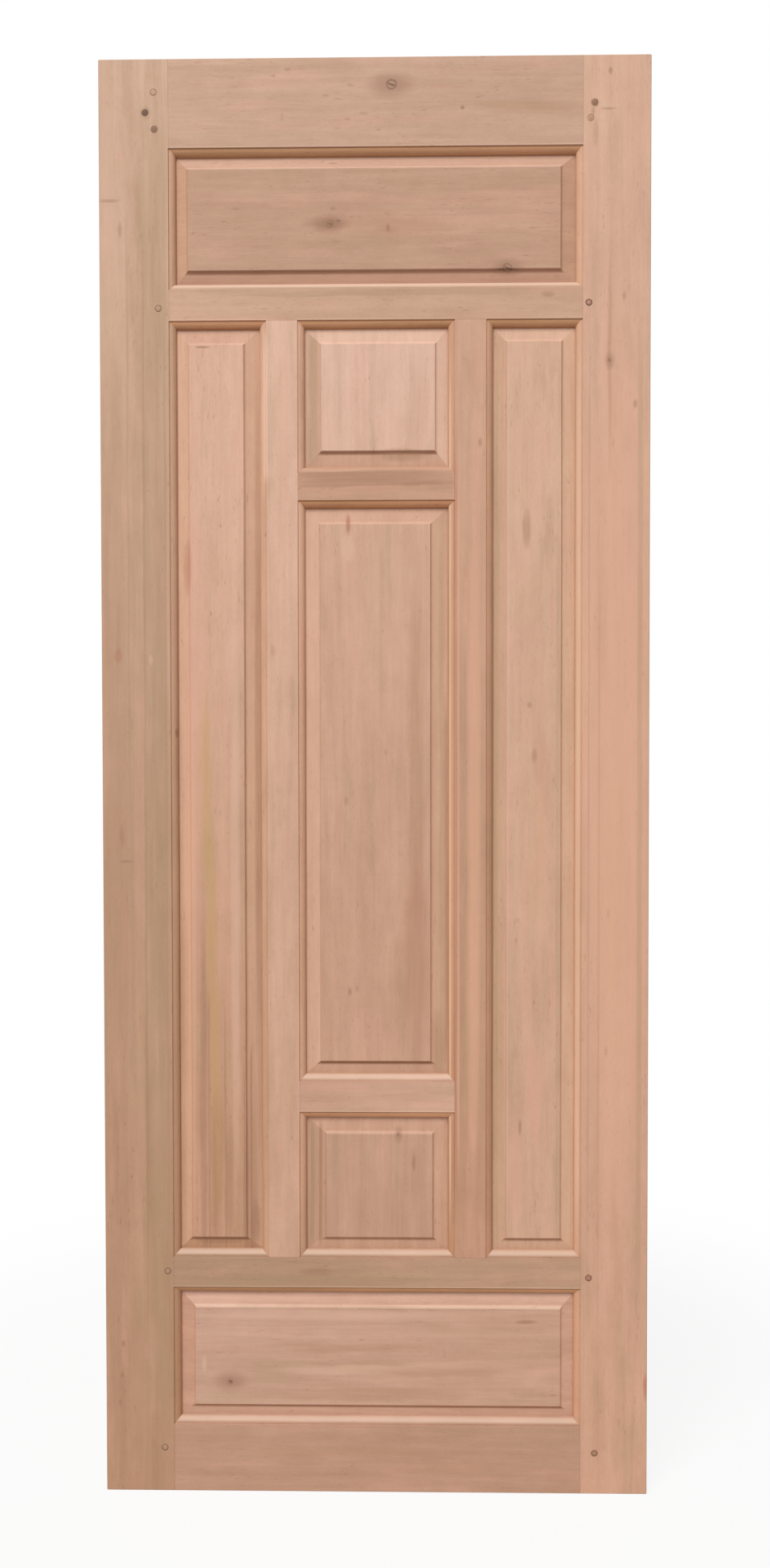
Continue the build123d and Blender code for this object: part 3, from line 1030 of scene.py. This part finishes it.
RIGHT_MUNTIN = Board(
    "right_muntin", UPRIGHT, (193, 147, 118), (205, 161, 134), (240, 60),
    tenon=MUNTIN_TENON,
    marks=(
        # Painted highlight along the left-facing sticking
        stripe(110, 1035, 1.8, 690, CREAM, 0.65, 0),
        stripe(117.5, 1000, 5, 640, RUST, 0.26),
        Mark(128, 950, 8, 520, BROWN, 0.17, 0.15),
        Mark(145, 990, 12, 680, PEACH, 0.52, 0.1),
        stripe(122, 1000, 2.2, 560, PEACH, 0.4, 0.05),
        stripe(116.5, 1000, 1.8, 600, RUST, 0.24, 0.05),
        stripe(168, 1035, 5, 700, OLIVE, 0.2, 0),
        Mark(154, 1546, 4, 9, BROWN, 0.45),
        Mark(114, 950, 6, 560, PEACH, 0.3, 0.1),
    ),
)
UPPER_CROSS_RAIL = Board(
    "upper_cross_rail", LYING, (199, 154, 127), (199, 154, 127), (1420, 80),
    # Little painted shade under this rail, and almost no painted highlight on its edges
    tenon=CROSS_TENON, shade=0.6, painted_highlight=0.05,
    marks=(stripe(0, 1495, 150, 13, BROWN, 0.42),),
)
LOWER_CROSS_RAIL = Board(
    "lower_cross_rail", LYING, (198, 155, 131), (210, 167, 143), (660, 80),
    tenon=CROSS_TENON,
)
TOP_PANEL = Board(
    "top_panel", LYING, (191, 150, 125), (191, 150, 125), (1870, 45),
    lean=(0.02, 0.02), figure=0.7, shade=0.3,
    bevels=(
        Bevel(17.3, (200, 153, 122)), Bevel(21.8, (192, 148, 119)),
        Bevel(19.3, (193, 146, 121), 0.36), Bevel(18.2, (211, 167, 141), 0.34),
    ),
    marks=(
        Mark(-68, 1864, 44, 18, BROWN, 0.44, 0.6),
        Mark(30, 1860, 110, 22, TAN, 0.4, 0.5),
        Mark(-52, 1868, 4, 3, DARK, 0.55),
        Mark(20, 1857, 3.5, 9, BROWN, 0.6, 0.8),
        Mark(18, 1856, 22, 9, BROWN, 0.24, 0.6),
        Mark(-202, 1887, 8, 3, BROWN, 0.3),
        Mark(-60, 1886, 6, 3, BROWN, 0.35),
        Mark(-55, 1838, 7, 3, BROWN, 0.3),
        Mark(-60, 1952, 9, 1.6, BROWN, 0.5),
        Mark(192, 1797, 20, 2.2, DARK, 0.7),
        Mark(-20, 1840, 130, 16, OLIVE, 0.3),
    ),
    knots=(Knot(-64, 1864, 5.5, 1, 2.8, ring=0.5), Knot(193, 1799, 6.5, 1, 2.6, ring=0.8)),
)
LEFT_SIDE_PANEL = Board(
    "left_side_panel", UPRIGHT, (192, 146, 116), (219, 176, 150), (-232, 90),
    lean=(0.01, 0.02),
    bevels=(
        Bevel(18.5, (212, 166, 136)), Bevel(23.8, (206, 162, 132)),
        Bevel(18, (191, 143, 110), 0.46), Bevel(23, (210, 164, 138)),
    ),
    marks=(
        Mark(-250, 1687, 14, 2.2, BROWN, 0.6),
        Mark(-275, 1365, 8, 52, RUST, 0.42),
        Mark(-264, 1100, 22, 560, ROSE, 0.3),
        Mark(-249, 1050, 11, 170, YELLOW, 0.46),
        Mark(-243, 860, 11, 170, YELLOW, 0.56),
        Mark(-236, 660, 11, 150, YELLOW, 0.54),
        Mark(-233, 500, 11, 120, YELLOW, 0.42),
        Mark(-270, 800, 8, 520, PEACH, 0.4, 0.1),
        Mark(-254, 560, 7, 420, BROWN, 0.4, 0.2),
        stripe(-246, 520, 2, 240, BROWN, 0.3, 0.2),
        stripe(-222, 520, 2, 220, BROWN, 0.3, 0.2),
        Mark(-233, 480, 12, 150, BROWN, 0.34, 0.4),
        Mark(-216, 470, 8, 130, BROWN, 0.28),
        Mark(-206, 900, 9, 560, PALE, 0.42, 0.15),
        # Painted shadow along the field's right edge
        stripe(-191, 800, 2.4, 560, BROWN, 0.2, 0),
        Mark(-183, 470, 12, 230, BROWN, 0.36),
        stripe(-184, 480, 2, 200, BROWN, 0.4, 0.05),
        stripe(-194, 480, 1.6, 170, BROWN, 0.35, 0.05),
        Mark(-178, 400, 9, 40, BROWN, 0.4),
        # Painted shade under the field's foot edge
        Mark(-230, 372, 50, 8, BROWN, 0.4),
        # This mark and the next: painted shade on the slopes beside the sight lines, by muntin and
        # stile
        Mark(-171, 1035, 8, 760, BROWN, 0.42, 0.05),
        Mark(-289, 640, 11, 620, BROWN, 0.26, 0.05),
    ),
)
RIGHT_SIDE_PANEL = Board(
    "right_side_panel", UPRIGHT, (207, 165, 137), (214, 173, 146), (240, 40),
    lean=(0, 0.045), figure=1.2,
    bevels=(
        Bevel(20.2, (200, 159, 129)), Bevel(20.3, (216, 173, 143)),
        Bevel(18.4, (209, 165, 136), 0.46), Bevel(20.7, (218, 175, 148)),
    ),
    marks=(
        Mark(222, 1423, 8, 36, BROWN, 0.42),
        stripe(193, 1000, 4, 640, PALE, 0.24),
        stripe(177, 1000, 5, 700, OLIVE, 0.26),
        stripe(268, 900, 4, 600, OLIVE, 0.24),
        Mark(233, 600, 15, 90, ROSE, 0.5),
        Mark(208, 480, 16, 110, ROSE, 0.45),
        Mark(240, 1000, 14, 260, PEACH, 0.3),
        Mark(246, 1080, 14, 90, TAN, 0.22, 0.9),
        # Painted shade on the slope beside the sight line, by the muntin
        Mark(171.5, 1035, 5, 760, BROWN, 0.12, 0.05),
        Mark(227, 1165, 5, 6, BROWN, 0.35),
        Mark(235, 1092, 5, 14, BROWN, 0.32, 0.8),
        Mark(213, 544, 3, 15, BROWN, 0.5),
    ),
)
UPPER_SQUARE_PANEL = Board(
    "upper_square_panel", UPRIGHT, (221, 180, 157), (222, 182, 160), (150, 60),
    figure=0.7,
    bevels=(
        Bevel(24.2, (198, 158, 131)), Bevel(18.8, (220, 180, 156)),
        Bevel(23.6, (203, 158, 129), 0.46), Bevel(23, (225, 184, 158)),
    ),
    marks=(
        stripe(-90, 1612, 9, 110, OLIVE, 0.32),
        Mark(62, 1610, 22, 100, TAN, 0.22),
        Mark(40, 1530, 46, 12, TAN, 0.6, 0.1),
    ),
)
CENTRE_PANEL = Board(
    "centre_panel", UPRIGHT, (200, 156, 130), (208, 166, 140), (20, 110),
    lean=(0.01, 0.03),
    bevels=(
        Bevel(22.2, (214, 171, 145)), Bevel(25.8, (205, 163, 134)),
        Bevel(19.3, (203, 159, 131), 0.58), Bevel(23.6, (213, 168, 141)),
    ),
    marks=(
        Mark(-39, 1429, 5, 21, RUST, 0.62),
        Mark(-39, 1396, 15, 28, PALE, 0.4),
        Mark(-41, 1025, 5, 9, BROWN, 0.3, 0.8),
        Mark(-37, 744, 3, 8, BROWN, 0.5, 0.8),
        Mark(-27, 748, 2, 6, BROWN, 0.4, 0.8),
        Mark(60, 1020, 18, 420, TAN, 0.42),
        Mark(62, 800, 24, 220, RUST, 0.18),
        Mark(52, 740, 30, 130, TAN, 0.34),
        Mark(90, 668, 16, 60, TAN, 0.5),
        stripe(98, 1000, 5, 440, OLIVE, 0.24),
        stripe(104, 900, 3, 300, BROWN, 0.34),
    ),
)
LOWER_SQUARE_PANEL = Board(
    "lower_square_panel", UPRIGHT, (193, 149, 125), (196, 154, 129), (-140, 60),
    bevels=(
        Bevel(29.3, (188, 146, 118)), Bevel(22.8, (208, 162, 134)),
        Bevel(18.7, (205, 160, 132), 0.4), Bevel(23.2, (206, 161, 134), 0.26),
    ),
    marks=(
        stripe(-94, 458, 4, 100, OLIVE, 0.6),
        stripe(-82, 458, 3, 100, BROWN, 0.5),
        Mark(57, 490, 4, 17, BROWN, 0.5),
        Mark(62, 470, 16, 60, TAN, 0.22, 0.6),
    ),
    knots=(Knot(34, 532, 3.5, 0.7, 2.5),),
)
BOTTOM_PANEL = Board(
    "bottom_panel", LYING, (201, 160, 138), (196, 154, 130), (180, 50),
    lean=(0.015, 0.03), figure=2, shade=1.6,
    bevels=(
        Bevel(21.3, (200, 151, 124)), Bevel(19.3, (205, 159, 135)),
        Bevel(17.4, (205, 160, 134), 0.46), Bevel(21.7, (222, 177, 154), 0.6),
    ),
    marks=(
        Mark(-60, 262, 230, 12, PALE, 0.34, 0.4),
        Mark(-255, 190, 5, 16, CREAM, 0.2),
        Mark(222, 254, 20, 4, BROWN, 0.5, 0.4),
        Mark(-40, 181, 150, 8, PALE, 0.34, 0.5),
        Mark(-10, 144, 190, 13, TAN, 0.44, 0.4),
        Mark(-40, 215, 150, 9, TAN, 0.4, 0.6),
        Mark(90, 178, 130, 8, TAN, 0.4, 0.6),
    ),
    knots=(Knot(-216, 162, 5, 1, 3.8), Knot(95, 205, 7, 0.9, 3.4, side=Side.BACK, ring=0.7)),
)
BOARDS = (
    LEFT_STILE, RIGHT_STILE, TOP_RAIL, FRIEZE_RAIL, LOCK_RAIL, BOTTOM_RAIL, LEFT_MUNTIN,
    RIGHT_MUNTIN, UPPER_CROSS_RAIL, LOWER_CROSS_RAIL, TOP_PANEL, LEFT_SIDE_PANEL,
    RIGHT_SIDE_PANEL, UPPER_SQUARE_PANEL, CENTRE_PANEL, LOWER_SQUARE_PANEL, BOTTOM_PANEL,
)

# The pegs of each rail, from the left to the right

PEGS = (
    HandCutPegs("top_rail_pegs", (
        Peg(-320, 2052.2, (190, 154, 130), (178, 142, 116), 10, 0.97),
        Peg(-332.2, 2023.2, (112, 84, 66), (120, 92, 74), 35, 0.99),
        Peg(-319.1, 1999.2, (138, 106, 84), (150, 118, 96), 70, 0.96),
        Peg(318.5, 2032, (146, 108, 84), (156, 118, 94), 20, 0.98),
        Peg(312.7, 2010.1, (184, 142, 116), (190, 148, 122), 55, 0.96),
    )),
    HandCutPegs("frieze_rail_pegs", (
        Peg(-314.3, 1741.9, (186, 148, 122), (162, 124, 100), 15, 0.97),
        Peg(310.6, 1746.4, (184, 138, 118), (128, 92, 72), 40, 0.98),
    )),
    HandCutPegs("lock_rail_pegs", (
        Peg(-307.6, 329.2, (176, 138, 112), (152, 116, 92), 60, 0.96),
        Peg(313.6, 322.1, (172, 124, 100), (146, 104, 82), 25, 0.98),
    )),
    HandCutPegs("bottom_rail_pegs", (
        Peg(-313, 65, (178, 140, 114), (150, 114, 90), 5, 0.97),
        Peg(322.8, 60.9, (168, 126, 100), (140, 102, 78), 50, 0.98),
    )),
)


@dataclass(frozen=True)
class Leaf:
    """The whole leaf: its boards keep the frame's own shapes, and its pegs are cut by hand."""

    boards: tuple[Board, ...]
    pegs: tuple[HandCutPegs, ...]
    timber: RawTimber = RawTimber()

    def dress(self, nodes: Mapping[str, bpy.types.Object]) -> None:
        """Gives each board its own timber, and puts cut pegs in place of the frame's plain ones."""
        openings = [Opening.round_panel(node) for node in nodes if node.endswith("_panel")]
        for seed, board in enumerate(self.boards, start=1):
            near = [opening for opening in openings if opening.touches(board.node)]
            nodes[board.node].material_slots[0].material = self.timber.material(board, near, seed)
            LOG.info("dressed %s, which has an edge on %d openings", board.node, len(near))
        for pegs in self.pegs:
            LOG.info("cut %s", pegs.build().name)


# Studio


@dataclass(frozen=True)
class Studio:
    """Floor, soft light and the camera of the photograph, in metres and degrees."""

    floor_size: float = 3.2
    floor_drop: float = 0.0005
    floor_fade: Span = (0.2, 0.48)
    floor_paper: Colour = (0.85, 0.85, 0.84)
    floor_white: float = 0.86
    soft_light: float = 0.39
    lamp_place: Point = (-2.6, -7.0, 8.6)
    lamp_size: float = 5.0
    lamp_power: float = 870.0
    lamp_aim: Point = (0.0, 0.0, 1.15)
    camera_place: Point = (0.050, -2.0155, 1.100)
    yaw: float = -1.01
    pitch: float = -1.44
    roll: float = -0.07
    lens: float = 31.38
    sensor: float = 36.0

    def build(self) -> None:
        """Makes everything round the object."""
        self._floor()
        self._world()
        self._lamp()
        self._camera()
        bpy.context.scene.view_settings.view_transform = "Standard"

    @staticmethod
    def _seen(bench: Bench) -> Signal:
        """1 for rays from the camera, or by way of gloss or glass, and 0 for rays of light."""
        rays = bench.node("LightPath").outputs
        camera, gloss, glass = (
            Signal(bench, rays[f"Is {kind} Ray"]) for kind in ("Camera", "Glossy", "Transmission")
        )
        return camera.at_least(gloss).at_least(glass)

    def _floor(self) -> None:
        """A pale floor that keeps the leaf's shadow and fades to white towards its edges."""
        bpy.ops.object.select_all(action="DESELECT")
        place = (0.0, 0.0, -self.floor_drop)
        bpy.ops.mesh.primitive_plane_add(size=self.floor_size, location=place)
        floor = bpy.context.active_object
        floor.name = "floor"
        bpy.ops.object.transform_apply(location=True, rotation=True, scale=True)
        bench, material = Bench.for_material("floor_paper")
        x, y, _ = bench.split(bench.node("TexCoord").outputs["Object"])
        out = (x * x + y * y).root()
        edge = bench.fade(out, *(self.floor_size * share for share in self.floor_fade))
        cover = self._seen(bench) * (self.floor_white + edge * (1.0 - self.floor_white))
        pale = bench.node("BsdfDiffuse", sockets={"Color": self.floor_paper})
        white = bench.node("Emission", sockets={"Color": WHITE, "Strength": 1.0})
        sockets = {0: cover, 1: pale.outputs[0], 2: white.outputs[0]}
        mixed = bench.node("MixShader", sockets=sockets)
        bench.node("OutputMaterial", sockets={"Surface": mixed.outputs[0]})
        floor.data.materials.append(material)

    def _world(self) -> None:
        """Soft light from all round, which the camera sees as white."""
        world = bpy.data.worlds.new("studio")
        world.use_nodes = True
        bench = Bench(world.node_tree)
        soft, white = (
            bench.node("Background", sockets={"Color": WHITE, "Strength": strength})
            for strength in (self.soft_light, 1.0)
        )
        sockets = {0: self._seen(bench), 1: soft.outputs[0], 2: white.outputs[0]}
        mixed = bench.node("MixShader", sockets=sockets)
        bench.node("OutputWorld", sockets={"Surface": mixed.outputs[0]})
        bpy.context.scene.world = world

    def _lamp(self) -> None:
        """A large lamp high in front of the leaf, a little to its left."""
        bpy.ops.object.light_add(type="AREA", location=self.lamp_place)
        lamp = bpy.context.active_object
        lamp.name = "key_lamp"
        lamp.data.size = self.lamp_size
        lamp.data.energy = self.lamp_power
        ahead = Vector(self.lamp_aim) - Vector(self.lamp_place)
        lamp.rotation_euler = ahead.to_track_quat("-Z", "Y").to_euler()

    def _camera(self) -> None:
        """The photograph's viewpoint, worked out from the leaf's corners in its own frame."""
        yaw, pitch, roll = (math.radians(angle) for angle in (self.yaw, self.pitch, self.roll))
        level = math.cos(pitch)
        ahead = Vector((math.sin(yaw) * level, math.cos(yaw) * level, math.sin(pitch)))
        turn = ahead.to_track_quat("-Z", "Y").to_matrix() @ Matrix.Rotation(roll, 3, "Z")
        bpy.ops.object.camera_add(location=self.camera_place)
        camera = bpy.context.active_object
        camera.name = "camera"
        camera.rotation_euler = turn.to_euler()
        camera.data.sensor_fit = "AUTO"
        camera.data.sensor_width = self.sensor
        camera.data.lens = self.lens
        bpy.context.scene.camera = camera


def main() -> None:
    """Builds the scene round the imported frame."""
    logging.basicConfig(level=logging.INFO, format="%(message)s")
    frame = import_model()
    Studio().build()
    Leaf(BOARDS, PEGS).dress(frame["nodes"])


if __name__ == "__main__":
    main()
